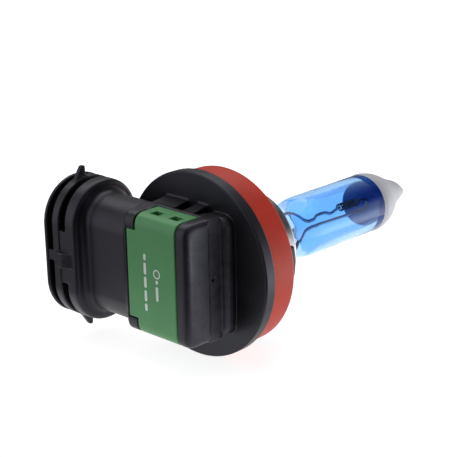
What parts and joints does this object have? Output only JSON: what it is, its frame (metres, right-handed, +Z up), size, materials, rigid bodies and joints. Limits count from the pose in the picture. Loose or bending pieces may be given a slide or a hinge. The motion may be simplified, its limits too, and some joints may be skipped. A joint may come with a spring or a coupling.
{
  "type": "headlight bulb",
  "caption": "Right-angle halogen headlight bulb: blue glass capsule with painted tip, sealing ring, bayonet flange and side connector with rings and two blades.",
  "frame": {"origin": "on the bulb axis, in the plane of the rear faces of the bayonet lugs, where the bulb seats in the lamp", "axes": "+X along the bulb axis to the glass tip, +Y the way the connector mouth points, +Z up along the connector oval's long axis"},
  "size_m": [0.0699, 0.0396, 0.0316],
  "materials": {
    "housing_plastic": "moulded black glass-filled plastic, satin",
    "cover_plastic": "moulded green plastic, satin",
    "silicone": "red-orange silicone rubber, satin",
    "tinned_brass": "tin-plated brass strip",
    "lead_wire": "drawn nickel-plated wire",
    "molybdenum": "drawn molybdenum, dull",
    "tungsten": "coiled tungsten, dark grey",
    "blue_glass": "blue-coated clear hard glass",
    "grey_paint": "light grey baked glare paint, matte",
    "holder_steel": "drawn stainless steel, bright"
  },
  "bodies": {
    "root": {"base_housing": "housing_plastic", "terminal_cover": "cover_plastic", "seal_ring": "silicone", "terminal_upper": "tinned_brass", "terminal_lower": "tinned_brass", "outer_lead_upper": "lead_wire", "outer_lead_lower": "lead_wire", "foil_upper": "molybdenum", "foil_lower": "molybdenum", "inner_lead_long": "molybdenum", "inner_lead_short": "molybdenum", "filament": "tungsten", "glass_envelope": "blue_glass", "tip_coating": "grey_paint", "holder_ring": "holder_steel", "holder_sleeve": "holder_steel", "pinch_clamp": "holder_steel"}
  },
  "joints": []
}
